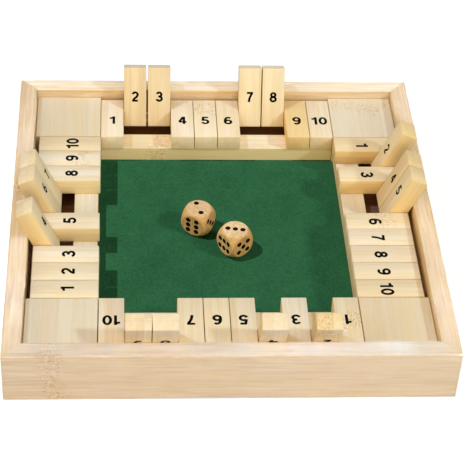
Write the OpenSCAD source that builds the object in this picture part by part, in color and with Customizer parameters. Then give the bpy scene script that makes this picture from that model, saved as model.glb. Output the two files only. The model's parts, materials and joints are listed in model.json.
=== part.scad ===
// Four-player flap game: a square tray with a row of ten numbered flaps along
// each wall, a felt-lined throwing area in the middle and two dice.
// Origin: centre of the tray's underside. +Z up, +Y towards the back row.

/* [Box] */
// Height of the walls
box_h = 39; // [36:0.5:48]
// Thickness of the walls
wall_t = 12.5; // [8:0.5:16]
// Rounding of the outer edges and corners
edge_r = 1; // [0.5:0.5:5]
// Rounding of the inner top edge, which the standing flaps lean on
inner_r = 0.8; // [0.4:0.1:1.5]
// Thickness of the base board
base_t = 6; // [4:0.5:8]
// Height of the base board's underside above the table
base_lift = 3; // [2:0.5:5]
// Depth of the groove that holds the base board
groove_d = 5; // [3:0.5:7]
// Thickness of the felt lining
felt_t = 0.8; // [0.5:0.1:2]

/* [Rows] */
// Height of the ledges above the base board
ledge_h = 11.3; // [7:0.1:14]
// Width of the ledges
ledge_w = 16.5; // [12:0.5:20]
// How far the ledges stand back from the flaps' inner ends
ledge_back = 1.5; // [0:0.5:3]
// Height of the corner blocks above the base board
block_h = 23.4; // [20:0.1:26]
// Rounding of the ledges' and blocks' top edges
trim_r = 0.5; // [0.2:0.1:1]

/* [Flaps] */
// Width of a flap
flap_w = 16.6; // [14:0.1:20]
// Length of a flap
flap_l = 44.5; // [38:0.5:48]
// Thickness of a flap
flap_t = 12; // [9:0.5:14]
// Rounding of a flap's long edges
flap_r = 1; // [0.4:0.1:2]
// Gap between a flap's outer end and the wall
flap_setback = 3; // [2:0.5:8]
// Distance from a flap's outer end to its pivot
pivot_in = 8.75; // [5:0.25:10]

/* [Pivot rods] */
// Diameter of a rod
rod_d = 2; // [1.5:0.1:4]
// Length of rod held in each corner block
rod_embed = 10; // [5:1:25]

/* [Dice] */
// Width across a die's flat faces
die_w = 19; // [14:0.5:22]
// Diameter of the ball that rounds a die's corners, as a multiple of its width
die_ball = 1.33; // [1.2:0.01:1.45]
// Diameter of a pip
pip_d = 3.3; // [2:0.1:3.6]
// Depth of a pip
pip_depth = 0.5; // [0.3:0.1:0.8]

/* [Clearances] */
// Gap between neighbouring flaps
flap_gap = 0.4; // [0.2:0.1:1]
// Gap under a resting flap or die, and between a standing flap and the wall
rest_gap = 0.1; // [0.05:0.05:0.3]
// Radial clearance of a rod in a flap
rod_run = 0.08; // [0.03:0.01:0.1]
// Radial clearance of a rod in a corner block
rod_seat = 0.03; // [0.01:0.01:0.1]
// Clearance of the base board in its groove
base_fit = 0.1; // [0.05:0.05:0.3]

/* [Hidden] */
$fn = 64;
eps = 0.5; // how far a cut reaches past the face it opens
flap_count = 10;
row_l = flap_count * (flap_w + flap_gap); // length of a row and of its ledge
block_w = flap_l + flap_setback; // the flaps' inner ends are flush with the blocks
inner_w = row_l + 2 * block_w; // inside of the walls
box_w = inner_w + 2 * wall_t;
base_top = base_lift + base_t;
ledge_top = base_top + ledge_h;
field_r = row_l / 2; // from the middle to the flaps' inner ends
felt_r = field_r + ledge_back; // from the middle to a ledge, and half the felt's width

// Pivot of the back row, and the angle that carries a flap from its ledge to the wall
pivot_y = inner_w / 2 - flap_setback - pivot_in;
pivot_z = ledge_top + rest_gap + flap_t / 2;
edge_y = flap_setback + pivot_in + inner_r; // centre of the wall's inner rounding,
edge_z = box_h - inner_r - pivot_z; // seen from the pivot
stand_turn = 180 - atan2(edge_z, edge_y)
    - asin((flap_t / 2 + inner_r + rest_gap) / norm([edge_y, edge_z]));

// Pips: half spacings of the diagonal patterns and of the six
pip_out = 0.194 * die_w;
six_long = 0.229 * die_w;
six_short = 0.167 * die_w;

// Rows in order, each a quarter turn clockwise from the last, and the flaps that stand
sides = ["back", "right", "front", "left"];
standing = [[2, 3, 7, 8], [2, 4, 5], [2, 4, 8, 9], [4, 6, 7]];
corners = ["back_right", "front_right", "front_left", "back_left"];

// Dice: place, turn, and [number, turn of its pattern] for the top, front, right,
// back, left and bottom faces
dice = [
    [[-16.3, 9], -29, [[2, 0], [6, 0], [3, 0], [1, 0], [4, 0], [5, 0]]],
    [[8.2, -13.3], -54.5, [[3, 90], [6, 90], [5, 0], [1, 0], [2, 0], [4, 0]]]
];

// Turns the back row's copy of a piece to the given row
module to_side(i) {
    rotate([0, 0, -90 * i]) children();
}

// A w by h rectangle from the origin, its corners rounded by the four radii in
// rs, anticlockwise from the origin; 0 leaves a corner square
module rounded_rect(w, h, rs) {
    spots = [[0, 0], [w, 0], [w, h], [0, h]];
    inward = [[1, 1], [-1, 1], [-1, -1], [1, -1]];
    difference() {
        square([w, h]);
        for (k = [0 : 3])
            if (rs[k] > 0)
                translate(spots[k] + inward[k] * rs[k] / 2 - [rs[k], rs[k]] / 2)
                    square(rs[k]);
    }
    for (k = [0 : 3])
        if (rs[k] > 0)
            translate(spots[k] + inward[k] * rs[k])
                intersection() {
                    circle(rs[k]);
                    translate(-(inward[k] + [1, 1]) * rs[k] / 2) square(rs[k]);
                }
}

// Extrudes a profile drawn in (y, z) along x, centred on x = 0
module along_x(length) {
    translate([-length / 2, 0, 0])
        rotate([90, 0, 90])
            linear_extrude(length) children();
}

module wall(i) {
    half = box_w / 2;
    inside = inner_w / 2;
    color("wheat") to_side(i) difference() {
        intersection() {
            translate([0, inside, 0])
                along_x(box_w)
                    rounded_rect(wall_t, box_h, [0, edge_r, edge_r, inner_r]);
            linear_extrude(box_h) intersection() {
                polygon([[-half, half], [half, half], [inside, inside], [-inside, inside]]);
                translate([-half, -half])
                    rounded_rect(box_w, box_w, [edge_r, edge_r, edge_r, edge_r]);
            }
        }
        translate([0, inside - eps, base_lift - base_fit])
            along_x(box_w - 2 * (wall_t - groove_d))
                square([groove_d + eps, base_t + 2 * base_fit]);
    }
}

module base_board() {
    side = inner_w + 2 * (groove_d - base_fit);
    color("burlywood")
        translate([-side / 2, -side / 2, base_lift]) cube([side, side, base_t]);
}

// Notched at its corners round the corner blocks
module felt_lining() {
    color("seagreen")
        translate([0, 0, base_top]) linear_extrude(felt_t) {
            square([2 * felt_r, 2 * field_r], center = true);
            square([2 * field_r, 2 * felt_r], center = true);
        }
}

// Blind hole for a rod's end, entering at the row's end of the back row
module rod_hole() {
    translate([field_r - eps, pivot_y, pivot_z])
        rotate([0, 90, 0])
            cylinder(r = rod_d / 2 + rod_seat, h = rod_embed + eps + rest_gap);
}

// Corner block at the right end of a row; the next row starts at its other face
module corner_block(i) {
    color("wheat") to_side(i) difference() {
        translate([field_r, field_r, base_top])
            linear_extrude(block_h)
                rounded_rect(block_w, block_w, [trim_r, 0, 0, 0]);
        rod_hole();
        mirror([1, -1, 0]) rod_hole();
    }
}

module ledge(i) {
    color("wheat") to_side(i)
        translate([0, felt_r, base_top])
            along_x(row_l) rounded_rect(ledge_w, ledge_h, [0, 0, trim_r, trim_r]);
}

module rod(i) {
    color("silver") to_side(i)
        translate([-field_r - rod_embed, pivot_y, pivot_z])
            rotate([0, 90, 0]) cylinder(d = rod_d, h = row_l + 2 * rod_embed);
}

// Flap n of a row, counted from the row's left end, lying or standing
module flap(i, n) {
    at_x = (n - (flap_count + 1) / 2) * (flap_w + flap_gap);
    turn = search([n], standing[i])[0] == [] ? 0 : stand_turn;
    color("wheat") to_side(i)
        translate([at_x, pivot_y, pivot_z])
            rotate([-turn, 0, 0])
                difference() {
                    translate([0, pivot_in - flap_l, -flap_t / 2])
                        along_x(flap_w)
                            rounded_rect(flap_l, flap_t, [flap_r, flap_r, flap_r, flap_r]);
                    rotate([0, 90, 0])
                        cylinder(r = rod_d / 2 + rod_run, h = flap_w + 2 * eps, center = true);
                }
}

// Centres of a number's pips on a face
function pips(number) =
    let (o = pip_out, a = six_short, b = six_long,
         slash = [[-o, o], [o, -o]], cross = [[-o, -o], [o, o]])
    number == 1 ? [[0, 0]]
    : number == 2 ? slash
    : number == 3 ? concat(slash, [[0, 0]])
    : number == 4 ? concat(slash, cross)
    : number == 5 ? concat(slash, cross, [[0, 0]])
    : [for (x = [-a, a]) for (y = [-b, 0, b]) [x, y]];

module die(place, turn, faces) {
    pip_ball = (pow(pip_d / 2, 2) + pow(pip_depth, 2)) / (2 * pip_depth);
    facing = [[0, 0, 0], [90, 0, 0], [90, 0, 90], [90, 0, 180], [90, 0, -90], [180, 0, 0]];
    color("tan")
        translate([place[0], place[1], base_top + felt_t + rest_gap + die_w / 2])
            rotate([0, 0, turn])
                difference() {
                    intersection() {
                        cube(die_w, center = true);
                        sphere(d = die_w * die_ball);
                    }
                    for (k = [0 : 5])
                        rotate(facing[k]) rotate([0, 0, faces[k][1]])
                            for (p = pips(faces[k][0]))
                                translate([p[0], p[1], die_w / 2 + pip_ball - pip_depth])
                                    sphere(pip_ball);
                }
}

for (i = [0 : 3]) {
    wall(i);
    corner_block(i);
    ledge(i);
    rod(i);
    for (n = [1 : flap_count])
        flap(i, n);
}
base_board();
felt_lining();
die(dice[0][0], dice[0][1], dice[0][2]);  // die_1
die(dice[1][0], dice[1][1], dice[1][2]);  // die_2
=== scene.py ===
import bpy
import bmesh
import json
import math
import random
from mathutils import Matrix, Vector

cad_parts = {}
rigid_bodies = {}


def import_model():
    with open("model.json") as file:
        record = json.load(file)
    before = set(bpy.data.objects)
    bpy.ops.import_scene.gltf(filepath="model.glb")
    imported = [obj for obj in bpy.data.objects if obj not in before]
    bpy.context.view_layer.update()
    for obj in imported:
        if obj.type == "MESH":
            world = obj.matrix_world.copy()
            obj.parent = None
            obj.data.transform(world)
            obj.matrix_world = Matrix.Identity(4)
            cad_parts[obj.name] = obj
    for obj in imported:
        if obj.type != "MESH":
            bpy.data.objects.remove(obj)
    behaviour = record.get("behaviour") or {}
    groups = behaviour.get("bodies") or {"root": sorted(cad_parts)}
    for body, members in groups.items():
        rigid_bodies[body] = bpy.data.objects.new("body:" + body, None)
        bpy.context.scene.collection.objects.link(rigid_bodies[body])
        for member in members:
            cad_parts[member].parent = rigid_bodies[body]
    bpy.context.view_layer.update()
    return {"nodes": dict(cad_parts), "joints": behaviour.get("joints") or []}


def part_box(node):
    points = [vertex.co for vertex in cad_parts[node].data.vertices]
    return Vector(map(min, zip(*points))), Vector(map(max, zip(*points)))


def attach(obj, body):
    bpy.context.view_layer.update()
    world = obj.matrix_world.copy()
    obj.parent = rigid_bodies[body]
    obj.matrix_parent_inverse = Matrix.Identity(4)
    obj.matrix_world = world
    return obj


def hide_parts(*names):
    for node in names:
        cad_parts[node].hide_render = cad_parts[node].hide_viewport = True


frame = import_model()

sides = ["back", "right", "front", "left"]    # each a quarter turn clockwise from the last
corners = ["back_right", "front_right", "front_left", "back_left"]
flapsPerRow = 10
mm = 0.001


def quarterTurn(row):
    return Matrix.Rotation(-math.pi / 2 * row, 4, "Z")


# ---- Camera: the place and turn that show the tray as it stands on the table ----

view = {
    "place": (-0.06937, -0.85977, 0.77224),
    "yaw": 0.08876,     # radians, turned to the right of +Y
    "pitch": 0.72055,    # looking down
    "roll": 0.05836,
    "focal": 1641.06,    # in pixels of a frame 464 wide
    "frameWidth": 464,
    "sensor": 36.0,
}


def addCamera():
    yaw, pitch, roll = view["yaw"], view["pitch"], view["roll"]
    ahead = Vector((math.sin(yaw) * math.cos(pitch), math.cos(yaw) * math.cos(pitch), -math.sin(pitch)))
    level = Vector((math.cos(yaw), -math.sin(yaw), 0))
    upright = level.cross(ahead)
    across = level * math.cos(roll) + upright * math.sin(roll)
    upward = upright * math.cos(roll) - level * math.sin(roll)
    data = bpy.data.cameras.new("camera")
    data.sensor_width = view["sensor"]
    data.lens = view["focal"] / view["frameWidth"] * view["sensor"]
    data.clip_start, data.clip_end = 0.05, 20
    camera = bpy.data.objects.new("camera", data)
    turn = Matrix((across, upward, -ahead)).transposed().to_4x4()
    camera.matrix_world = Matrix.Translation(view["place"]) @ turn
    bpy.context.collection.objects.link(camera)
    bpy.context.scene.camera = camera


addCamera()
print("camera placed")

# ---- Sizes, read from the CAD frame ----

wallLow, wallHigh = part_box("wall_back")
blockLow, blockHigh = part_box("block_back_right")
ledgeLow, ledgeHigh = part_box("ledge_back")
boardLow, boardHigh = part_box("base_board")
feltLow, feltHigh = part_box("felt_lining")
flapLow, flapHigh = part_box("flap_back_1")    # this one lies flat
rodLow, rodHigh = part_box("rod_back")

outerHalf = wallHigh.y
innerHalf = wallLow.y
wallHeight = wallHigh.z
flapWidth = flapHigh.x - flapLow.x
flapLength = flapHigh.y - flapLow.y
flapThickness = flapHigh.z - flapLow.z
rodRadius = (rodHigh.z - rodLow.z) / 2
pivotHeight = (rodHigh.z + rodLow.z) / 2
pivotInset = flapHigh.y - (rodHigh.y + rodLow.y) / 2    # from a flap's outer end to its rod
hinges = {joint["child"]: joint for joint in frame["joints"] if joint["type"] == "hinge"}

# ---- Shader helpers ----


def nodeTree(name, treeType="ShaderNodeTree"):
    return bpy.data.node_groups.new(name, treeType)


def socket(tree, name, kind, way="INPUT", value=None):
    made = tree.interface.new_socket(name=name, in_out=way, socket_type="NodeSocket" + kind)
    if value is not None:
        made.default_value = value
    return made


class Wiring:
    # A short way to add nodes to one tree and to join them
    def __init__(self, tree):
        self.tree = tree

    def add(self, kind, settings=None, **inputs):
        node = self.tree.nodes.new(kind)
        for name, value in (settings or {}).items():
            setattr(node, name, value)
        for name, value in inputs.items():
            self.feed(node.inputs[name.replace("_", " ")], value)
        return node

    def feed(self, target, value):
        if isinstance(value, bpy.types.NodeSocket):
            self.tree.links.new(value, target)
        else:
            target.default_value = value

    def math(self, operation, a, b=0.0, clamp=False):
        node = self.add("ShaderNodeMath", {"operation": operation, "use_clamp": clamp})
        self.feed(node.inputs[0], a)
        self.feed(node.inputs[1], b)
        return node.outputs[0]

    def vector(self, operation, a, b=(0, 0, 0)):
        node = self.add("ShaderNodeVectorMath", {"operation": operation})
        self.feed(node.inputs[0], a)
        self.feed(node.inputs[1], b)
        return node.outputs[0]

    def mix(self, amount, a, b, blend="MIX"):
        node = self.add("ShaderNodeMix", {"data_type": "RGBA", "blend_type": blend})
        self.feed(node.inputs[0], amount)
        self.feed(node.inputs[6], a)
        self.feed(node.inputs[7], b)
        return node.outputs[2]

    def ramp(self, value, low, high, lowTo=0.0, highTo=1.0, smooth=True):
        node = self.add("ShaderNodeMapRange", {"interpolation_type": "SMOOTHSTEP" if smooth else "LINEAR"})
        for k, item in enumerate((value, low, high, lowTo, highTo)):
            self.feed(node.inputs[k], item)
        return node.outputs[0]

    def noise(self, at, scale, detail=2.0, roughness=0.5, distortion=0.0):
        node = self.add("ShaderNodeTexNoise")
        self.feed(node.inputs["Vector"], at)
        for name, value in (("Scale", scale), ("Detail", detail),
                            ("Roughness", roughness), ("Distortion", distortion)):
            self.feed(node.inputs[name], value)
        return node.outputs[0]


# ---- Bamboo: strips pressed side by side, with fibres, dashes and patches of knuckles ----


def buildBambooGroup():
    tree = nodeTree("bambooGrain")
    socket(tree, "Grain Place", "Vector")
    socket(tree, "End Grain", "Float")
    socket(tree, "Side Grain", "Float")
    socket(tree, "Toast", "Float")
    socket(tree, "Knuckle Distance", "Float", value=1.0)
    socket(tree, "Layer Distance", "Float", value=-1.0)
    socket(tree, "Pale", "Color", value=(0.88, 0.72, 0.54, 1))
    socket(tree, "Yellow", "Color", value=(0.86, 0.68, 0.41, 1))
    socket(tree, "Golden", "Color", value=(0.84, 0.60, 0.28, 1))
    socket(tree, "Cut", "Color", value=(0.90, 0.75, 0.55, 1))
    socket(tree, "Dark", "Color", value=(0.62, 0.42, 0.2, 1))
    socket(tree, "Strip Width", "Float", value=0.0062)
    socket(tree, "Fibres", "Float", value=0.5)
    socket(tree, "Streaks", "Float", value=0.5)
    socket(tree, "Layer Warmth", "Float", value=0.0)
    socket(tree, "Layer Shade", "Float", value=0.0)
    socket(tree, "Color", "Color", "OUTPUT")
    socket(tree, "Roughness", "Float", "OUTPUT")
    socket(tree, "Height", "Float", "OUTPUT")
    w = Wiring(tree)
    given = w.add("NodeGroupInput").outputs
    result = w.add("NodeGroupOutput").inputs
    place = given["Grain Place"]
    parts = w.add("ShaderNodeSeparateXYZ", Vector=place).outputs
    across, depth = parts[1], parts[2]

    # Each strip has its own tone
    stripRun = w.math("DIVIDE", across, given["Strip Width"])
    cell = w.add("ShaderNodeCombineXYZ", X=w.math("FLOOR", stripRun),
                 Y=w.math("FLOOR", w.math("DIVIDE", depth, 0.02))).outputs[0]
    stripTone = w.add("ShaderNodeTexWhiteNoise", {"noise_dimensions": "3D"}, Vector=cell).outputs["Value"]

    def streaks(lengthwise, crosswise, detail=2.0, distortion=0.0):
        scaled = w.vector("MULTIPLY", place, (lengthwise, crosswise, crosswise))
        return w.noise(scaled, 1.0, detail, 0.6, distortion)

    broad = streaks(22, 430, 4.0, 0.9)
    tawny = streaks(13, 250, 3.0, 0.9)
    fine = streaks(22, 1900, 3.0)
    dashes = w.ramp(streaks(48, 2400), 0.60, 0.74)
    cloud = w.noise(place, 22, 2.0)
    pieceTone = w.noise(place, 2.5, 0.0)

    # Knuckles: where the culm's ring crossed the strips, the wood is finely speckled
    shift = w.math("MULTIPLY", w.math("SUBTRACT", stripTone, 0.5), 0.010)
    distance = w.math("ABSOLUTE", w.math("ADD", given["Knuckle Distance"], shift))
    patch = w.ramp(distance, 0.004, 0.0105, 1.0, 0.0)
    speckle = w.math("SUBTRACT", streaks(430, 1050, 2.0, 1.2), 0.5)
    ridge = w.math("MULTIPLY", w.ramp(distance, 0.0002, 0.0009, 1.0, 0.0), w.ramp(stripTone, 0.2, 0.9))

    seam = w.math("ABSOLUTE", w.math("SUBTRACT", w.math("FRACT", stripRun), 0.5))
    glueLine = w.math("MULTIPLY", w.ramp(seam, 0.488, 0.5), w.math("SUBTRACT", 1.0, given["End Grain"]))

    shade = w.math("MULTIPLY", w.math("SUBTRACT", broad, 0.45), given["Streaks"])
    fineShade = w.math("MULTIPLY", w.math("SUBTRACT", fine, 0.45), 1.2)
    fineShade = w.math("ADD", fineShade, w.math("MULTIPLY", dashes, 0.35))
    shade = w.math("ADD", shade, w.math("MULTIPLY", fineShade, given["Fibres"]))
    for part, centre, weight in ((stripTone, 0.5, 0.20), (cloud, 0.5, 0.25), (pieceTone, 0.5, 0.45)):
        shade = w.math("ADD", shade, w.math("MULTIPLY", w.math("SUBTRACT", part, centre), weight))
    # The pieces are glued up from two layers, the second of them a little more golden
    secondLayer = w.ramp(given["Layer Distance"], -0.00006, 0.00006)
    layerSeam = w.ramp(w.math("ABSOLUTE", given["Layer Distance"]), 0.0001, 0.00035, 1.0, 0.0)
    shade = w.math("ADD", shade, w.math("MULTIPLY", secondLayer, given["Layer Shade"]))
    shade = w.math("ADD", shade, w.math("MULTIPLY", layerSeam, 0.10))
    shade = w.math("ADD", shade, w.math("MULTIPLY", glueLine, 0.10))
    shade = w.math("ADD", shade, w.math("MULTIPLY", given["End Grain"], 0.07))
    shade = w.math("ADD", shade, w.math("MULTIPLY", patch, w.math("ADD", w.math("MULTIPLY", speckle, 2.8), 0.08)))
    shade = w.math("ADD", w.math("ADD", shade, 0.14), w.math("MULTIPLY", ridge, 0.22), clamp=True)
    warmth = w.ramp(w.math("ADD", w.math("MULTIPLY", w.noise(place, 9.0, 1.0), 0.5), tawny), 0.60, 0.95)
    warmth = w.math("ADD", warmth, w.math("MULTIPLY", secondLayer, given["Layer Warmth"]), clamp=True)
    colour = w.mix(warmth, given["Pale"], given["Yellow"])
    # Side-grain faces take the Golden colour. On the flaps' sides and the ledges' long faces this darker golden is
    # partly their side grain and partly painted shade, for faces that stand in shade in the gaps between flaps and
    # beside them; on the walls these faces are the tops and take a paler colour
    colour = w.mix(w.math("MULTIPLY", given["Side Grain"], 0.75), colour, given["Golden"])
    colour = w.mix(w.math("MULTIPLY", given["End Grain"], 0.75), colour, given["Cut"])
    # This per-piece deepening to golden, strongest on the end faces, is the piece's own tone on most flaps and painted
    # shade on the right row's flaps
    toast = w.math("MULTIPLY", given["Toast"], w.math("ADD", 1.0, w.math("MULTIPLY", given["End Grain"], 1.5)))
    colour = w.mix(toast, colour, (0.96, 0.82, 0.54, 1), "MULTIPLY")
    colour = w.mix(shade, colour, given["Dark"])
    w.feed(result["Color"], colour)
    w.feed(result["Roughness"], w.ramp(w.math("ADD", fine, w.math("MULTIPLY", patch, 0.1)), 0.2, 0.9, 0.50, 0.66))
    height = w.math("SUBTRACT", w.math("MULTIPLY", fine, 0.6), w.math("MULTIPLY", dashes, 0.5))
    height = w.math("SUBTRACT", height, w.math("MULTIPLY", glueLine, 0.5))
    w.feed(result["Height"], w.math("ADD", height, w.math("MULTIPLY", w.math("MULTIPLY", patch, speckle), 1.2)))
    return tree


bambooGroup = buildBambooGroup()


def newMaterial(name):
    material = bpy.data.materials.new(name)
    material.use_nodes = True
    tree = material.node_tree
    shader = tree.nodes["Principled BSDF"]
    return material, Wiring(tree), shader


bambooFinish = {
    "wall": {"Pale": (0.93, 0.78, 0.60, 1), "Yellow": (0.87, 0.67, 0.40, 1), "Golden": (0.93, 0.82, 0.68, 1),
             "Cut": (0.90, 0.74, 0.50, 1), "Dark": (0.58, 0.36, 0.13, 1), "Fibres": 0.34, "Streaks": 1.35,
             "Strip Width": 0.0065, "Layer Warmth": 0.6, "Layer Shade": 0.03},
    "trim": {"Pale": (0.80, 0.69, 0.53, 1), "Yellow": (0.81, 0.655, 0.42, 1), "Golden": (0.90, 0.72, 0.38, 1),
             "Cut": (0.88, 0.70, 0.45, 1), "Dark": (0.60, 0.38, 0.15, 1), "Fibres": 0.28, "Streaks": 0.36,
             "Strip Width": 0.0085},
    # On the ledges Golden colours the long faces: partly side grain, partly painted shade under and beside the flaps
    "ledge": {"Pale": (0.95, 0.82, 0.63, 1), "Yellow": (0.92, 0.74, 0.46, 1), "Golden": (0.93, 0.76, 0.42, 1),
              "Cut": (0.88, 0.70, 0.45, 1), "Dark": (0.60, 0.38, 0.15, 1), "Fibres": 0.30, "Streaks": 0.5,
              "Strip Width": 0.0085},
    # On the flaps Golden colours the sides: partly side grain, partly painted shade of the narrow gaps between flaps
    "flap": {"Pale": (0.935, 0.81, 0.63, 1), "Yellow": (0.92, 0.76, 0.50, 1), "Golden": (0.90, 0.69, 0.34, 1),
             "Cut": (0.95, 0.80, 0.57, 1), "Dark": (0.62, 0.38, 0.14, 1), "Fibres": 0.34, "Streaks": 0.5,
             "Strip Width": 0.0056, "Layer Warmth": 0.4, "Layer Shade": 0.03},
    "dice": {"Pale": (0.84, 0.56, 0.25, 1), "Yellow": (0.76, 0.46, 0.17, 1), "Golden": (0.82, 0.56, 0.25, 1),
             "Cut": (0.86, 0.70, 0.50, 1), "Dark": (0.34, 0.17, 0.05, 1), "Fibres": 1.1, "Streaks": 0.9,
             "Strip Width": 0.03},
    "lacquer": 0.04,
    "grainBump": 0.00004,
}


def bambooMaterial(name, finish):
    material, w, shader = newMaterial(name)
    group = w.add("ShaderNodeGroup", {"node_tree": bambooGroup})
    for attribute, output, target in (("grainPlace", "Vector", "Grain Place"), ("endGrain", "Fac", "End Grain"),
                                      ("sideGrain", "Fac", "Side Grain"), ("toast", "Fac", "Toast"),
                                      ("knuckle", "Fac", "Knuckle Distance"),
                                      ("layer", "Fac", "Layer Distance")):
        read = w.add("ShaderNodeAttribute", {"attribute_name": attribute})
        w.feed(group.inputs[target], read.outputs[output])
    for socketName, value in bambooFinish[finish].items():
        group.inputs[socketName].default_value = value
    w.feed(shader.inputs["Base Color"], group.outputs["Color"])
    w.feed(shader.inputs["Roughness"], group.outputs["Roughness"])
    bump = w.add("ShaderNodeBump", Distance=bambooFinish["grainBump"], Height=group.outputs["Height"])
    w.feed(shader.inputs["Normal"], bump.outputs[0])
    shader.inputs["Specular IOR Level"].default_value = 0.18
    shader.inputs["Coat Weight"].default_value = bambooFinish["lacquer"]
    shader.inputs["Coat Roughness"].default_value = 0.35
    return material


wallBamboo = bambooMaterial("wall bamboo", "wall")
trimBamboo = bambooMaterial("trim bamboo", "trim")
ledgeBamboo = bambooMaterial("ledge bamboo", "ledge")
flapBamboo = bambooMaterial("flap bamboo", "flap")
diceWood = bambooMaterial("dice wood", "dice")


def paintMaterial(name, colour, roughness):
    material, w, shader = newMaterial(name)
    place = w.add("ShaderNodeTexCoord").outputs["Object"]
    grain = w.noise(place, 2400, 2.0)
    worn = [1.8 * c for c in colour[:3]] + [1]
    w.feed(shader.inputs["Base Color"], w.mix(w.ramp(grain, 0.35, 0.75), colour, worn))
    w.feed(shader.inputs["Roughness"], w.ramp(grain, 0.3, 0.7, roughness - 0.08, roughness + 0.08))
    shader.inputs["Specular IOR Level"].default_value = 0.04
    return material


numeralInk = paintMaterial("numeral ink", (0.004, 0.003, 0.003, 1), 0.6)
pipPaint = paintMaterial("pip paint", (0.005, 0.004, 0.003, 1), 0.55)


def feltMaterial():
    material, w, shader = newMaterial("green felt")
    place = w.add("ShaderNodeTexCoord").outputs["Object"]
    tufts = w.noise(place, 760, 3.0, 0.7)
    drift = w.noise(place, 60, 3.0, 0.6)
    lint = w.noise(w.vector("MULTIPLY", place, (1.0, 0.35, 1.0)), 2600, 2.0, 0.6)
    shade = w.math("ADD", w.math("MULTIPLY", tufts, 0.7), w.math("MULTIPLY", drift, 0.3))
    colour = w.mix(w.ramp(shade, 0.32, 0.68), (0.0175, 0.085, 0.0370, 1), (0.0310, 0.136, 0.063, 1))
    colour = w.mix(w.math("MULTIPLY", w.ramp(lint, 0.62, 0.8), 0.3), colour, (0.07, 0.24, 0.12, 1))
    w.feed(shader.inputs["Base Color"], colour)
    shader.inputs["Roughness"].default_value = 0.95
    shader.inputs["Specular IOR Level"].default_value = 0.0
    shader.inputs["Sheen Weight"].default_value = 0.05
    shader.inputs["Sheen Roughness"].default_value = 0.5
    shader.inputs["Sheen Tint"].default_value = (0.25, 0.7, 0.4, 1)
    bump = w.add("ShaderNodeBump", Distance=0.0003, Height=w.math("ADD", tufts, w.math("MULTIPLY", lint, 0.4)))
    w.feed(shader.inputs["Normal"], bump.outputs[0])
    return material


greenFelt = feltMaterial()


def wireMaterial():
    material, w, shader = newMaterial("drawn wire")
    place = w.add("ShaderNodeTexCoord").outputs["Object"]
    scratches = w.noise(w.vector("MULTIPLY", place, (40, 40, 3000)), 1.0, 2.0)
    w.feed(shader.inputs["Base Color"], w.mix(scratches, (0.42, 0.41, 0.39, 1), (0.62, 0.61, 0.59, 1)))
    w.feed(shader.inputs["Roughness"], w.ramp(scratches, 0.3, 0.7, 0.28, 0.45))
    shader.inputs["Metallic"].default_value = 1.0
    return material


def plywoodMaterial():
    material, w, shader = newMaterial("plywood")
    place = w.add("ShaderNodeTexCoord").outputs["Object"]
    rings = w.noise(w.vector("MULTIPLY", place, (14, 150, 150)), 1.0, 4.0, 0.6, 0.6)
    fibre = w.noise(w.vector("MULTIPLY", place, (60, 1900, 1900)), 1.0, 2.0)
    shade = w.math("ADD", w.math("MULTIPLY", rings, 0.7), w.math("MULTIPLY", fibre, 0.3))
    shade = w.ramp(shade, 0.3, 0.7)
    w.feed(shader.inputs["Base Color"], w.mix(shade, (0.50, 0.25, 0.12, 1), (0.31, 0.13, 0.055, 1)))
    w.feed(shader.inputs["Roughness"], w.ramp(fibre, 0.3, 0.7, 0.6, 0.75))
    bump = w.add("ShaderNodeBump", Distance=0.00005, Height=fibre)
    w.feed(shader.inputs["Normal"], bump.outputs[0])
    return material


drawnWire = wireMaterial()
plywood = plywoodMaterial()
for side in sides:
    rod = frame["nodes"]["rod_" + side]
    rod.data.materials.clear()
    rod.data.materials.append(drawnWire)
board = frame["nodes"]["base_board"]
board.data.materials.clear()
board.data.materials.append(plywood)
print("materials made")

# ---- Mesh helpers ----


def makeObject(name, mesh, material=None):
    made = bpy.data.objects.new(name, mesh)
    bpy.context.collection.objects.link(made)
    if material:
        mesh.materials.clear()
        mesh.materials.append(material)
    return made


def plainMesh(made, name):
    # The object with its modifiers applied, as a new mesh
    seen = bpy.context.evaluated_depsgraph_get()
    seen.update()
    mesh = bpy.data.meshes.new_from_object(made.evaluated_get(seen))
    mesh.name = name
    return mesh


def evenNormals(made):
    # Flat faces stay flat beside their rounded edges
    made.data.shade_smooth()
    made.data.set_sharp_from_angle(angle=math.radians(35))
    keep = made.modifiers.new("even normals", "WEIGHTED_NORMAL")
    keep.keep_sharp = True
    keep.weight = 80


def markGrain(mesh, axes, offset, knuckleAt=1.0, layer=None, toast=0.0):
    # Stores where each vertex lies along, across and into the wood, how far it lies from the piece's
    # knuckle and beyond its glued layer, and which faces cut the fibres; layer = (outward axis, place)
    kinds = {"grainPlace": ("FLOAT_VECTOR", "POINT"), "knuckle": ("FLOAT", "POINT"),
             "layer": ("FLOAT", "POINT"), "toast": ("FLOAT", "POINT"), "endGrain": ("FLOAT", "FACE"),
             "sideGrain": ("FLOAT", "FACE")}
    for name, kind in kinds.items():
        mesh.attributes.new(name, *kind)
    place, knuckle, beyond, tint, cut, side = (mesh.attributes[name].data for name in kinds)
    for k, vertex in enumerate(mesh.vertices):
        place[k].vector = [vertex.co.dot(axis) + shift for axis, shift in zip(axes, offset)]
        knuckle[k].value = vertex.co.dot(axes[0]) - knuckleAt
        beyond[k].value = vertex.co.dot(layer[0]) - layer[1] if layer else -1.0
        tint[k].value = toast
    for k, face in enumerate(mesh.polygons):
        cut[k].value, side[k].value = [min(1.0, max(0.0, (abs(face.normal.dot(axis)) - 0.6) / 0.35))
                                       for axis in axes[:2]]


grainChance = random.Random(7)


def grainOffset():
    return [grainChance.uniform(0.5, 4.0) for _ in range(3)]


axisX, axisY, axisZ = Vector((1, 0, 0)), Vector((0, 1, 0)), Vector((0, 0, 1))

# ---- Rounded bar: a rounded outline drawn along its length, by Geometry Nodes ----


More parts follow.
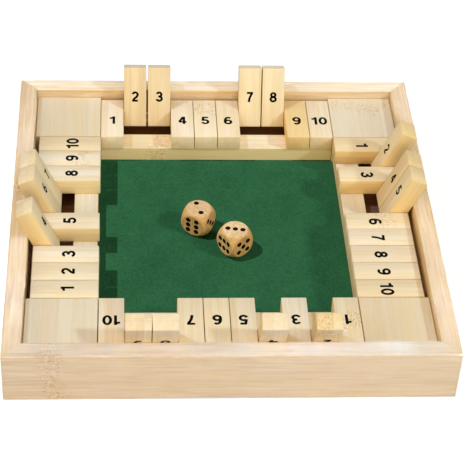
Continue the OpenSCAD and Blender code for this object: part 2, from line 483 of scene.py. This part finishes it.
def buildBarTree():
    tree = nodeTree("roundedBar", "GeometryNodeTree")
    socket(tree, "Geometry", "Geometry")
    for name, value in (("Width", 0.048), ("Height", 0.023), ("Length", 0.048), ("Edge Radius", 0.0006)):
        socket(tree, name, "Float", value=value)
    socket(tree, "Edge Steps", "Int", value=4)
    socket(tree, "Material", "Material")
    socket(tree, "Geometry", "Geometry", "OUTPUT")
    w = Wiring(tree)
    given = w.add("NodeGroupInput").outputs
    outline = w.add("GeometryNodeCurvePrimitiveQuadrilateral", {"mode": "RECTANGLE"},
                    Width=given["Width"], Height=given["Height"])
    rounded = w.add("GeometryNodeFilletCurve", {"mode": "POLY"}, Curve=outline.outputs[0],
                    Radius=given["Edge Radius"], Count=given["Edge Steps"])
    face = w.add("GeometryNodeFillCurve", {"mode": "NGONS"}, Curve=rounded.outputs[0])
    body = w.add("GeometryNodeExtrudeMesh", {"mode": "FACES"}, Mesh=face.outputs[0],
                 Offset_Scale=given["Length"], Individual=False)
    cap = w.add("GeometryNodeFlipFaces", Mesh=face.outputs[0])
    both = w.add("GeometryNodeJoinGeometry")
    tree.links.new(cap.outputs[0], both.inputs[0])
    tree.links.new(body.outputs[0], both.inputs[0])
    sealed = w.add("GeometryNodeMergeByDistance", Geometry=both.outputs[0], Distance=0.000005)
    drop = w.math("MULTIPLY", given["Length"], -0.5)
    down = w.add("ShaderNodeCombineXYZ", Z=drop)
    centred = w.add("GeometryNodeTransform", Geometry=sealed.outputs[0], Translation=down.outputs[0])
    real = w.add("GeometryNodeRealizeInstances", Geometry=centred.outputs[0])
    dressed = w.add("GeometryNodeSetMaterial", Geometry=real.outputs[0], Material=given["Material"])
    tree.links.new(dressed.outputs[0], w.add("NodeGroupOutput").inputs[0])
    return tree


def runTree(made, tree, values):
    modifier = made.modifiers.new(tree.name, "NODES")
    modifier.node_group = tree
    names = {item.name: item.identifier for item in tree.interface.items_tree
             if item.item_type == "SOCKET" and item.in_out == "INPUT"}
    for name, value in values.items():
        modifier[names[name]] = value
    return modifier


barTree = buildBarTree()


def roundedBar(name, width, height, length, edge, endEdge, material, bore=None):
    # Outline in x and y, length in z, centred on the origin; bore = (radius, x) drills it along z
    made = makeObject(name, bpy.data.meshes.new(name))
    runTree(made, barTree, {"Width": width, "Height": height, "Length": length,
                            "Edge Radius": edge, "Material": material})
    rim = made.modifiers.new("end edges", "BEVEL")
    rim.width, rim.segments, rim.limit_method = endEdge, 3, "ANGLE"
    rim.angle_limit = math.radians(60)
    made.data = plainMesh(made, name)
    made.modifiers.clear()
    if bore:
        drill = bmesh.new()
        bmesh.ops.create_cone(drill, cap_ends=True, segments=32, radius1=bore[0], radius2=bore[0],
                              depth=length * 1.2, matrix=Matrix.Translation((bore[1], 0, 0)))
        drillMesh = bpy.data.meshes.new("drill")
        drill.to_mesh(drillMesh)
        drill.free()
        drillObject = makeObject("drill", drillMesh, material)
        cut = made.modifiers.new("bore", "BOOLEAN")
        cut.object, cut.solver = drillObject, "EXACT"
        made.data = plainMesh(made, name)
        made.modifiers.clear()
        bpy.data.objects.remove(drillObject)
    evenNormals(made)
    mesh = plainMesh(made, name)
    bpy.data.objects.remove(made)
    mesh.materials.clear()
    mesh.materials.append(material)
    return mesh


def placePiece(name, mesh, matrix, body, replaced):
    mesh.transform(matrix)
    made = makeObject(name, mesh)
    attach(made, body)
    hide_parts(replaced)
    return made


# ---- Walls: one profile carried along each side, mitred and rounded at the corners ----

wallLook = {
    "edge": 1.0 * mm,        # rounding of the outer edges and corners
    "innerEdge": 0.8 * mm,   # rounding of the inner top edge
    "grooveDepth": 5.1 * mm,
    "grooveFit": 0.1 * mm,
    "arcSteps": 7,
    "mitreEase": 0.06 * mm,  # the joint shows as a fine line
    "innerLayer": 8.6 * mm,
    "knuckles": {"back": 0.031, "right": -0.058, "front": 0.112, "left": 0.02},    # from each wall's middle
}


def wallProfile():
    # Points (distance outwards from the inner face, height), anticlockwise from the inner foot
    r, q, steps = wallLook["edge"], wallLook["innerEdge"], wallLook["arcSteps"]
    thick = outerHalf - innerHalf
    points = [(0.0, 0.0)]

    def arc(cx, cy, radius, start):
        for k in range(steps + 1):
            angle = math.radians(start + 90 * k / steps)
            points.append((cx + radius * math.cos(angle), cy + radius * math.sin(angle)))

    arc(thick - r, r, r, -90)
    arc(thick - r, wallHeight - r, r, 0)
    arc(q, wallHeight - q, q, 90)
    fit, deep = wallLook["grooveFit"], wallLook["grooveDepth"]
    for u, z in ((0, boardHigh.z + fit), (deep, boardHigh.z + fit), (deep, boardLow.z - fit), (0, boardLow.z - fit)):
        points.append((u, z))
    return points


def wallMesh(name):
    r, steps = wallLook["edge"], wallLook["arcSteps"]
    thick = outerHalf - innerHalf
    profile = wallProfile()
    stations = []    # each profile point's path along half the wall, from the middle to the mitre
    for u, z in profile:
        turn = max(0.0, u - (thick - r))
        cornerMid = outerHalf - r
        path = [(0.0, innerHalf + u)]
        for k in range(steps + 1):
            angle = math.radians(90 - 45 * k / steps)
            if u > thick - r:
                path.append((cornerMid + turn * math.cos(angle), cornerMid + turn * math.sin(angle)))
            else:
                path.append((innerHalf + u, innerHalf + u))
        x, y = path[-1]
        path[-1] = (x - wallLook["mitreEase"], y)
        stations.append([(px, py, z) for px, py in path])
    mesh = bmesh.new()
    rings = []
    for sign in (-1, 1):
        count = range(len(stations[0]) - 1, -1, -1) if sign < 0 else range(1, len(stations[0]))
        for k in count:
            rings.append([mesh.verts.new((sign * s[k][0], s[k][1], s[k][2])) for s in stations])
    size = len(profile)
    for a, b in zip(rings, rings[1:]):
        for k in range(size):
            nextK = (k + 1) % size
            mesh.faces.new((a[k], a[nextK], b[nextK], b[k]))
    mesh.faces.new(rings[0][::-1])
    mesh.faces.new(rings[-1])
    bmesh.ops.remove_doubles(mesh, verts=mesh.verts, dist=0.000001)
    bmesh.ops.recalc_face_normals(mesh, faces=mesh.faces)
    data = bpy.data.meshes.new(name)
    mesh.to_mesh(data)
    mesh.free()
    made = makeObject(name, data)
    evenNormals(made)
    finished = plainMesh(made, name)
    bpy.data.objects.remove(made)
    finished.materials.append(wallBamboo)
    return finished


wallPattern = wallMesh("wall")
for row, side in enumerate(sides):
    mesh = wallPattern.copy()
    markGrain(mesh, (axisX, axisZ, axisY), grainOffset(), wallLook["knuckles"][side],
              (axisY, innerHalf + wallLook["innerLayer"]))
    placePiece("outer_wall_" + side, mesh, quarterTurn(row), "tray", "wall_" + side)
print("walls made")

# ---- Corner blocks and ledges ----

trimLook = {
    "blockEdge": 0.5 * mm,
    "blockGap": 0.35 * mm,    # all round, so that the joints show as dark lines
    "ledgeEdge": 0.5 * mm,
    "blockKnuckles": {"back_right": 0.013},    # from the block's middle, along its grain
    "ledgeKnuckles": {"back": -0.044, "front": 0.03},
}

blockSize = blockHigh - blockLow
blockGap = 2 * trimLook["blockGap"]
blockMesh = roundedBar("block", blockSize.x - blockGap, blockSize.z, blockSize.y - blockGap, trimLook["blockEdge"],
                       trimLook["blockEdge"], trimBamboo)
standUp = Matrix.Rotation(math.pi / 2, 4, "X")    # outline's y to +Z, length to -Y
for row, corner in enumerate(corners):
    low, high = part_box("block_" + corner)
    mesh = blockMesh.copy()
    mesh.transform(standUp)
    markGrain(mesh, (axisY, axisX, axisZ), grainOffset(), trimLook["blockKnuckles"].get(corner, 1.0))
    placePiece("corner_block_" + corner, mesh, Matrix.Translation((low + high) / 2), "tray",
               "block_" + corner)

ledgeSize = ledgeHigh - ledgeLow
ledgeMid = (ledgeHigh + ledgeLow) / 2
ledgeMesh = roundedBar("ledge", ledgeSize.y, ledgeSize.z, ledgeSize.x, trimLook["ledgeEdge"], 0.1 * mm,
                       ledgeBamboo)
# Length to +X, outline to y and z
alongRow = Matrix(((0, 0, 1, 0), (1, 0, 0, 0), (0, 1, 0, 0), (0, 0, 0, 1)))
for row, side in enumerate(sides):
    mesh = ledgeMesh.copy()
    mesh.transform(alongRow)
    markGrain(mesh, (axisX, axisY, axisZ), grainOffset(), trimLook["ledgeKnuckles"].get(side, 1.0))
    placePiece("flap_ledge_" + side, mesh, quarterTurn(row) @ Matrix.Translation(ledgeMid), "tray",
               "ledge_" + side)
print("blocks and ledges made")

# ---- Numerals: strokes of even width, joined into one thin solid for each figure ----

numeralLook = {
    "stroke": 0.205,          # as a share of the height
    "gap": 0.13,              # between the figures of a ten
    "stretch": 1.06,          # across the figure
    "topHeight": 8.8 * mm,    # on the face that shows when the flap lies
    "topFromEnd": 20.3 * mm,  # centre of the figure from the flap's inner end
    "underHeight": 7.6 * mm,  # on the face that shows when the flap stands
    "underFromEnd": 21.6 * mm,
    "film": 0.03 * mm,
    # Printed by hand, so not quite alike: shift across the flap and towards its pivot
    "rowShift": {"back": (0, -1.0 * mm), "front": (0, 0.6 * mm), "left": (0, 0), "right": (1.0 * mm, 0)},
    "underShift": {"flap_left_7": (2.0 * mm, -2.4 * mm), "flap_left_6": (1.5 * mm, -4.6 * mm),
                   "flap_left_4": (2.0 * mm, -2.8 * mm), "flap_right_5": (0, -4.4 * mm),
                   "flap_right_4": (0, -1.0 * mm)},
}


def arcPoints(cx, cy, rx, ry, start, end, steps=22):
    turns = [math.radians(start + (end - start) * k / steps) for k in range(steps + 1)]
    return [(cx + rx * math.cos(t), cy + ry * math.sin(t)) for t in turns]


def strokesOf(digit):
    # Centre lines in a figure 1 high; True after a line closes it
    if digit == 0:
        return [(arcPoints(0.33, 0.5, 0.235, 0.41, 0, 360, 40), True)]
    if digit == 1:
        return [([(0.40, 0.0), (0.40, 1.0)], False), ([(0.38, 0.86), (0.24, 0.775), (0.08, 0.755)], False)]
    if digit == 2:
        return [(arcPoints(0.325, 0.685, 0.225, 0.225, 170, -25) + [(0.43, 0.44), (0.24, 0.28), (0.13, 0.10)], False),
                ([(0.05, 0.085), (0.58, 0.085)], False)]
    if digit == 3:
        return [(arcPoints(0.315, 0.712, 0.205, 0.197, 165, -90) + [(0.24, 0.515)], False),
                ([(0.24, 0.515)] + arcPoints(0.32, 0.30, 0.235, 0.215, 90, -168), False)]
    if digit == 4:
        return [([(0.445, 0.0), (0.445, 1.0)], False), ([(0.03, 0.30), (0.64, 0.30)], False),
                ([(0.40, 0.97), (0.08, 0.33)], False)]
    if digit == 5:
        return [([(0.13, 0.915), (0.57, 0.915)], False), ([(0.20, 0.98), (0.135, 0.46)], False),
                (arcPoints(0.32, 0.325, 0.235, 0.235, 142, -165), False)]
    if digit == 6:
        return [(arcPoints(0.335, 0.31, 0.235, 0.225, 0, 360, 36), True),
                (arcPoints(0.36, 0.47, 0.26, 0.44, 195, 52), False)]
    if digit == 7:
        return [([(0.05, 0.915), (0.61, 0.915)], False),
                ([(0.54, 0.90), (0.42, 0.70), (0.32, 0.45), (0.265, 0.22), (0.245, 0.0)], False)]
    if digit == 8:
        return [(arcPoints(0.33, 0.725, 0.195, 0.185, 0, 360, 32), True),
                (arcPoints(0.33, 0.295, 0.235, 0.21, 0, 360, 36), True)]
    turned = strokesOf(6)    # a nine is a six turned over
    return [([(0.67 - x, 1.0 - y) for x, y in line], closed) for line, closed in turned]


def ribbonMesh(mesh, line, closed, width, film):
    # A flat band along the line, as a closed solid between z = -film and z = film
    points = [Vector(p) for p in (line[:-1] if closed else line)]
    count = len(points)
    left, right = [], []
    for k, point in enumerate(points):
        before = points[k - 1] if closed or k else point
        after = points[(k + 1) % count] if closed or k < count - 1 else point
        into, out = (point - before), (after - point)
        into = into.normalized() if into.length else out.normalized()
        out = out.normalized() if out.length else into
        along = (into + out).normalized()
        side = Vector((-along.y, along.x)) * (width / 2 / max(0.5, along.dot(out)))
        left.append(point + side)
        right.append(point - side)
    corners4 = []
    for edge, z in ((left, film), (right, film), (right, -film), (left, -film)):
        corners4.append([mesh.verts.new((p.x, p.y, z)) for p in edge])
    last = count if closed else count - 1
    for k in range(last):
        j = (k + 1) % count
        for a, b in zip(corners4, corners4[1:] + corners4[:1]):
            mesh.faces.new((a[k], a[j], b[j], b[k]))
    if not closed:
        mesh.faces.new([c[0] for c in corners4])
        mesh.faces.new([c[-1] for c in corners4][::-1])


def digitMesh(digit):
    # The figure's strokes, joined by union so that no faces are left inside
    solids = []
    for k, (line, closed) in enumerate(strokesOf(digit)):
        shape = bmesh.new()
        ribbonMesh(shape, line, closed, numeralLook["stroke"], 0.01)
        bmesh.ops.recalc_face_normals(shape, faces=shape.faces)
        data = bpy.data.meshes.new(f"stroke {digit} {k}")
        shape.to_mesh(data)
        shape.free()
        solids.append(makeObject(data.name, data))
    base = solids[0]
    for other in solids[1:]:
        join = base.modifiers.new("join", "BOOLEAN")
        join.operation, join.object, join.solver = "UNION", other, "EXACT"
    finished = plainMesh(base, f"figure {digit}")
    for solid in solids:
        bpy.data.objects.remove(solid)
    return finished


digitMeshes = [digitMesh(digit) for digit in range(10)]
digitWidths = [max(v.co.x for v in m.vertices) - min(v.co.x for v in m.vertices) for m in digitMeshes]
digitLefts = [min(v.co.x for v in m.vertices) for m in digitMeshes]


def addNumber(target, number, height, matrix):
    # Writes the number into target, centred on the origin, then places it by matrix
    digits = [int(c) for c in str(number)]
    total = sum(digitWidths[d] for d in digits) + numeralLook["gap"] * (len(digits) - 1)
    at = -total / 2
    for d in digits:
        before = len(target.verts)
        target.from_mesh(digitMeshes[d])
        target.verts.ensure_lookup_table()
        for vertex in target.verts[before:]:
            x = (vertex.co.x - digitLefts[d] + at) * height * numeralLook["stretch"]
            y = (vertex.co.y - 0.5) * height
            z = numeralLook["film"] * (1 if vertex.co.z > 0 else -1)
            vertex.co = matrix @ Vector((x, y, z))
        at += digitWidths[d] + numeralLook["gap"]


# ---- Flaps ----

flapLook = {
    "edge": 0.9 * mm,
    "sideEdge": 0.3 * mm,
    "boreFit": 0.08 * mm,
    "layerShift": 0.4 * mm,
    "knuckleShare": 0.07,    # how many of the flaps have a knuckle
    "sidePlay": {"flap_back_1": -0.25, "flap_back_2": -0.42, "flap_back_3": 0.4, "flap_back_4": 0.25,
                 "flap_back_5": 0.2, "flap_back_6": 0.15, "flap_back_7": -0.05, "flap_back_8": 0.3,
                 "flap_back_9": 0.15, "flap_back_10": 0.1, "flap_right_6": 0.1, "flap_left_4": 0.15,
                 "flap_front_3": -0.1},    # in mm along the rod
    "sideFit": 0.15 * mm,
    # How far some of the flaps lean to a deeper, more golden bamboo: on flaps outside the right row this is their own
    # tone, on the right row's flaps it is painted shade for their faces and ends
    "toast": {"flap_back_9": 1.0, "flap_front_2": 0.2, "flap_right_1": 0.4, "flap_right_2": 0.5,
              "flap_right_3": 0.35, "flap_right_4": 0.3, "flap_right_5": 0.25, "flap_back_2": 0.1, "flap_left_5": 0.1},
    "knuckles": {"flap_right_6": -0.008, "flap_left_9": -0.022, "flap_back_5": -0.004},
}
flapChance = random.Random(11)

boreX = pivotInset - flapLength / 2    # the outline's +x end is the inner end
flapMesh = roundedBar("flap", flapLength, flapThickness, flapWidth - flapLook["sideFit"], flapLook["edge"], flapLook["sideEdge"],
                      flapBamboo, bore=(rodRadius + flapLook["boreFit"], boreX))
# Outline's x to -Y, so that the inner end points to the middle, and its y to +Z
layFlap = Matrix(((0, 0, 1, 0), (-1, 0, 0, boreX), (0, 1, 0, 0), (0, 0, 0, 1)))
flapMesh.transform(layFlap)

faceDown = Matrix.Rotation(math.pi, 4, "X")
innerEnd = pivotInset - flapLength

for row, side in enumerate(sides):
    for number in range(1, flapsPerRow + 1):
        node = f"flap_{side}_{number}"
        hinge = hinges[node]
        # A flap whose range ends at rest stands against the wall
        turned = -math.radians(hinge["range_deg"][0])
        low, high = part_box(node)
        middle = quarterTurn(row).inverted() @ ((low + high) / 2)
        play = flapLook["sidePlay"].get(node, 0) * mm
        pivot = Vector((middle.x + play, (rodLow.y + rodHigh.y) / 2, pivotHeight))
        matrix = quarterTurn(row) @ Matrix.Translation(pivot) @ Matrix.Rotation(-turned, 4, "X")
        mesh = flapMesh.copy()
        hasKnuckle = flapChance.random() < flapLook["knuckleShare"]
        knuckleAt = flapChance.uniform(innerEnd, pivotInset) if hasKnuckle else 1.0
        knuckleAt = flapLook["knuckles"].get(node, knuckleAt)
        markGrain(mesh, (axisY, axisX, axisZ), grainOffset(), knuckleAt, (-axisZ, flapLook["layerShift"]),
                  flapLook["toast"].get(node, 0.0))
        placePiece(f"numbered_flap_{side}_{number}", mesh, matrix, node, node)

        figures = bmesh.new()
        shift = numeralLook["rowShift"][side]
        top = Matrix.Translation((shift[0], innerEnd + numeralLook["topFromEnd"] + shift[1], flapThickness / 2))
        addNumber(figures, number, numeralLook["topHeight"], matrix @ top)
        shift = numeralLook["underShift"].get(node, (0, 0))
        under = Matrix.Translation((shift[0], innerEnd + numeralLook["underFromEnd"] + shift[1],
                                    -flapThickness / 2))
        addNumber(figures, number, numeralLook["underHeight"], matrix @ under @ faceDown)
        ink = bpy.data.meshes.new(f"numerals_{side}_{number}")
        figures.to_mesh(ink)
        figures.free()
        numerals = makeObject(ink.name, ink, numeralInk)
        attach(numerals, node)
print("flaps and numerals made")

# ---- Felt ----

feltLook = {"cells": 116, "fit": 0.1 * mm, "wave": 0.06 * mm, "edgeDrop": 0.15 * mm, "seed": 4}
feltNotch = blockLow.x    # the corner blocks' inner faces


def feltMesh():
    mesh = bmesh.new()
    half = (feltHigh.x - feltLow.x) / 2 - 0.0003
    spare = []
    bmesh.ops.create_grid(mesh, x_segments=feltLook["cells"], y_segments=feltLook["cells"], size=half)
    thick = feltHigh.z - feltLow.z
    wave = random.Random(feltLook["seed"])
    phases = [(wave.uniform(60, 260), wave.uniform(60, 260), wave.uniform(0, 6.3)) for _ in range(5)]
    for vertex in mesh.verts:
        x, y = vertex.co.x, vertex.co.y
        lift = sum(math.sin(a * x + b * y + c) for a, b, c in phases) / len(phases)
        rim = max(abs(x), abs(y)) > half - 0.0005
        if min(abs(x), abs(y)) > feltNotch - feltLook["fit"]:    # the corners are cut round the blocks
            spare.append(vertex)
        vertex.co.z = feltHigh.z - feltLook["wave"] * (1 - lift) / 2 - (feltLook["edgeDrop"] if rim else 0)
    bmesh.ops.delete(mesh, geom=spare, context="VERTS")
    sheet = bmesh.ops.extrude_face_region(mesh, geom=mesh.faces[:])
    for item in sheet["geom"]:
        if isinstance(item, bmesh.types.BMVert):
            item.co.z = feltLow.z
    bmesh.ops.recalc_face_normals(mesh, faces=mesh.faces)
    data = bpy.data.meshes.new("felt")
    mesh.to_mesh(data)
    mesh.free()
    data.shade_smooth()
    data.set_sharp_from_angle(angle=math.radians(50))
    return data


felt = makeObject("felt_sheet", feltMesh(), greenFelt)
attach(felt, "tray")
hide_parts("felt_lining")
print("felt made")

# ---- Dice: a block rounded by a ball, with drilled and painted pips ----

diceLook = {
    "width": 19.0 * mm,
    "ball": 1.33,          # diameter of the ball, as a multiple of the width
    "soften": 0.035,       # rounding where the faces meet the ball
    "cells": 40,
    "pipWidth": 3.7 * mm,
    "pipDepth": 0.5 * mm,
    "pipOut": 0.194,       # pip spacing, as shares of the width
    "sixLong": 0.229,
    "sixShort": 0.167,
    # turn in degrees, then [number, turn of its pattern] for top, front, right, back, left, bottom
    "die_1": (-29.0, [(2, 0), (6, 0), (3, 0), (1, 0), (4, 0), (5, 0)]),
    "die_2": (-54.5, [(3, 90), (6, 90), (5, 0), (1, 0), (2, 0), (4, 0)]),
}


def pipPattern(number):
    o, a, b = diceLook["pipOut"], diceLook["sixShort"], diceLook["sixLong"]
    slash, cross, middle = [(-o, o), (o, -o)], [(-o, -o), (o, o)], [(0, 0)]
    patterns = {1: middle, 2: slash, 3: slash + middle, 4: slash + cross, 5: slash + cross + middle,
                6: [(x, y) for x in (-a, a) for y in (-b, 0, b)]}
    return patterns[number]


def diceBody(name):
    # A cube of cells, each point carried out to the block or the ball, whichever is nearer
    mesh = bmesh.new()
    bmesh.ops.create_cube(mesh, size=2.0)
    bmesh.ops.subdivide_edges(mesh, edges=mesh.edges[:], cuts=diceLook["cells"] - 1, use_grid_fill=True)
    half, ball = diceLook["width"] / 2, diceLook["width"] * diceLook["ball"] / 2
    soften = diceLook["soften"]
    for vertex in mesh.verts:
        spread = Vector([math.tan(c * math.pi / 4) for c in vertex.co])
        ray = spread.normalized()
        toFace = half / max(abs(c) for c in ray)
        # smooth minimum of the two distances
        share = min(1.0, max(0.0, 0.5 + (ball - toFace) / (2 * soften * ball)))
        reach = ball + (toFace - ball) * share - soften * ball * share * (1 - share)
        vertex.co = ray * reach
    bmesh.ops.recalc_face_normals(mesh, faces=mesh.faces)
    data = bpy.data.meshes.new(name)
    mesh.to_mesh(data)
    mesh.free()
    data.materials.append(diceWood)
    return data


def pipCentres(faces):
    facing = [(0, 0), (90, 0), (90, 90), (90, 180), (90, -90), (180, 0)]
    width, depth = diceLook["pipWidth"], diceLook["pipDepth"]
    ball = (width ** 2 / 4 + depth ** 2) / (2 * depth)
    lift = diceLook["width"] / 2 + ball - depth
    points = []
    for (tilt, spin), (number, turn) in zip(facing, faces):
        matrix = (Matrix.Rotation(math.radians(spin), 3, "Z") @ Matrix.Rotation(math.radians(tilt), 3, "X")
                  @ Matrix.Rotation(math.radians(turn), 3, "Z"))
        for x, y in pipPattern(number):
            points.append(matrix @ Vector((x * diceLook["width"], y * diceLook["width"], lift)))
    data = bpy.data.meshes.new("pip centres")
    data.from_pydata([tuple(p) for p in points], [], [])
    return data, ball


def buildPipTree():
    tree = nodeTree("drilledPips", "GeometryNodeTree")
    socket(tree, "Geometry", "Geometry")
    socket(tree, "Pip Centres", "Object")
    socket(tree, "Cutter Radius", "Float", value=0.0022)
    socket(tree, "Paint", "Material")
    socket(tree, "Geometry", "Geometry", "OUTPUT")
    w = Wiring(tree)
    given = w.add("NodeGroupInput").outputs
    centres = w.add("GeometryNodeObjectInfo", {"transform_space": "ORIGINAL"}, Object=given["Pip Centres"])
    cutter = w.add("GeometryNodeMeshIcoSphere", Radius=given["Cutter Radius"], Subdivisions=5)
    painted = w.add("GeometryNodeSetMaterial", Geometry=cutter.outputs[0], Material=given["Paint"])
    spread = w.add("GeometryNodeInstanceOnPoints", Points=centres.outputs["Geometry"],
                   Instance=painted.outputs[0])
    real = w.add("GeometryNodeRealizeInstances", Geometry=spread.outputs[0])
    drilled = w.add("GeometryNodeMeshBoolean", {"operation": "DIFFERENCE", "solver": "EXACT"})
    tree.links.new(given["Geometry"], drilled.inputs["Mesh 1"])
    tree.links.new(real.outputs[0], drilled.inputs["Mesh 2"])
    tree.links.new(drilled.outputs[0], w.add("NodeGroupOutput").inputs[0])
    return tree


pipTree = buildPipTree()

for name in ("die_1", "die_2"):
    turn, faces = diceLook[name]
    centreMesh, cutterRadius = pipCentres(faces)
    centreObject = makeObject("pip centres", centreMesh)
    blank = makeObject(name + " blank", diceBody(name + " blank"))
    runTree(blank, pipTree, {"Pip Centres": centreObject, "Cutter Radius": cutterRadius, "Paint": pipPaint})
    mesh = plainMesh(blank, "wooden_" + name)
    bpy.data.objects.remove(blank)
    bpy.data.objects.remove(centreObject)
    mesh.shade_smooth()
    mesh.set_sharp_from_angle(angle=math.radians(25))
    markGrain(mesh, (axisZ, axisY, axisX), grainOffset())
    low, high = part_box(name)
    place = Matrix.Translation((low + high) / 2) @ Matrix.Rotation(math.radians(turn), 4, "Z")
    placePiece("wooden_" + name, mesh, place, name, name)
print("dice made")

# ---- Floor, lamps and surroundings ----

studio = {
    "floorSize": 6.0,
    "floorColour": (0.72, 0.78, 1.0, 1),
    "floorGlow": 0.87,                    # seen by the camera only, so that the lit floor is white
    "worldLight": 0.14,
    "worldColour": (1.0, 0.90, 0.54, 1),
}
# For each lamp: turn in degrees, strength, degrees of sky that it fills, colour, what it lights and,
# where there is one, the piece that casts no shadow in it
lamps = {
    "key": ((0, -29, 0), 1.07, 1.2, (0.38, 0.60, 1.0), "all but field"),
    "second key": ((20, 48, 0), 1.40, 5.0, (0.71, 0.87, 1.0), "timber"),
    "top": ((0, 0, 0), 0.86, 80.0, (1.0, 0.87, 0.70), "timber"),
    "front": ((72, 0, 4), 1.38, 40.0, (1.0, 0.88, 0.66), "inside", "front"),
    "left": ((10, -60, 0), 0.90, 40.0, (1.0, 0.80, 0.42), "inside"),
    "outer front": ((62, 0, 4), 2.1, 40.0, (0.93, 0.90, 0.92), "front"),
    "outer back": ((-62, 0, 4), 1.3, 40.0, (1.0, 0.96, 0.88), "back"),
    "outer right": ((0, 62, 0), 1.3, 40.0, (1.0, 0.96, 0.88), "right"),
    "outer left": ((0, -62, 0), 0.9, 40.0, (1.0, 0.96, 0.88), "left"),
    "field key": ((0, -29, 0), 2.42, 1.2, (1.0, 0.98, 0.95), "field"),
    "field right": ((20, 48, 0), 1.35, 10.0, (1.0, 0.98, 0.96), "field"),
    "dice front": ((60, 0, 0), 0.9, 30.0, (1.0, 0.86, 0.58), "dice"),
}


def litGroup(name):
    # The pieces that a lamp lights, by the starts of their names
    starts = {"field": ("felt_sheet", "wooden_die"), "dice": ("wooden_die",),
              "flaps": ("numbered_flap",),
              "timber": ("outer_wall", "corner_block", "flap_ledge", "numbered_flap"),
              "inside": ("outer_wall_back", "outer_wall_left", "outer_wall_right", "corner_block",
                         "flap_ledge", "numbered_flap"),
              "front": ("outer_wall_front",), "back": ("outer_wall_back",),
              "right": ("outer_wall_right",), "left": ("outer_wall_left",)}
    if name not in bpy.data.collections:
        group = bpy.data.collections.new(name)
        listed = starts[name.removeprefix("all but ")]
        for piece in bpy.context.scene.objects:
            if piece.type == "MESH" and piece.name.startswith(listed) != name.startswith("all but "):
                group.objects.link(piece)
    return bpy.data.collections[name]


def addSun(name, turn, strength, size, colour, lights, spared=None):
    data = bpy.data.lights.new(name, "SUN")
    data.energy, data.angle, data.color = strength, math.radians(size), colour
    lamp = bpy.data.objects.new(name, data)
    lamp.rotation_euler = [math.radians(a) for a in turn]
    lamp.visible_glossy = False
    bpy.context.collection.objects.link(lamp)
    lamp.light_linking.receiver_collection = litGroup(lights)
    if spared:
        lamp.light_linking.blocker_collection = litGroup("all but " + spared)


def seenDirectly(w):
    # 1 for camera, glossy and transmission rays, 0 for the rays that light the object
    path = w.add("ShaderNodeLightPath").outputs
    other = w.math("MAXIMUM", path["Is Glossy Ray"], path["Is Transmission Ray"])
    return w.math("MAXIMUM", path["Is Camera Ray"], other)


def addSurroundings():
    world = bpy.data.worlds.new("studio")
    bpy.context.scene.world = world
    world.use_nodes = True
    w = Wiring(world.node_tree)
    world.node_tree.nodes.clear()
    lit = w.add("ShaderNodeBackground", Color=studio["worldColour"], Strength=studio["worldLight"])
    plain = w.add("ShaderNodeBackground", Color=(1, 1, 1, 1), Strength=1.0)
    mixed = w.add("ShaderNodeMixShader")
    w.feed(mixed.inputs[0], seenDirectly(w))
    w.feed(mixed.inputs[1], lit.outputs[0])
    w.feed(mixed.inputs[2], plain.outputs[0])
    w.feed(w.add("ShaderNodeOutputWorld").inputs[0], mixed.outputs[0])
    for name, values in lamps.items():
        addSun(name + " lamp", *values)
    bpy.context.scene.view_settings.view_transform = "Standard"


def addFloor():
    mesh = bmesh.new()
    bmesh.ops.create_grid(mesh, x_segments=8, y_segments=8, size=studio["floorSize"] / 2)
    data = bpy.data.meshes.new("floor")
    mesh.to_mesh(data)
    mesh.free()
    material, w, shader = newMaterial("floor")
    shader.inputs["Base Color"].default_value = studio["floorColour"]
    shader.inputs["Roughness"].default_value = 0.9
    shader.inputs["Specular IOR Level"].default_value = 0.0
    shader.inputs["Emission Color"].default_value = (1, 1, 1, 1)
    w.feed(shader.inputs["Emission Strength"], w.math("MULTIPLY", seenDirectly(w), studio["floorGlow"]))
    material.cycles.emission_sampling = "NONE"
    floor = makeObject("floor", data, material)


addFloor()
addSurroundings()
print("studio made")
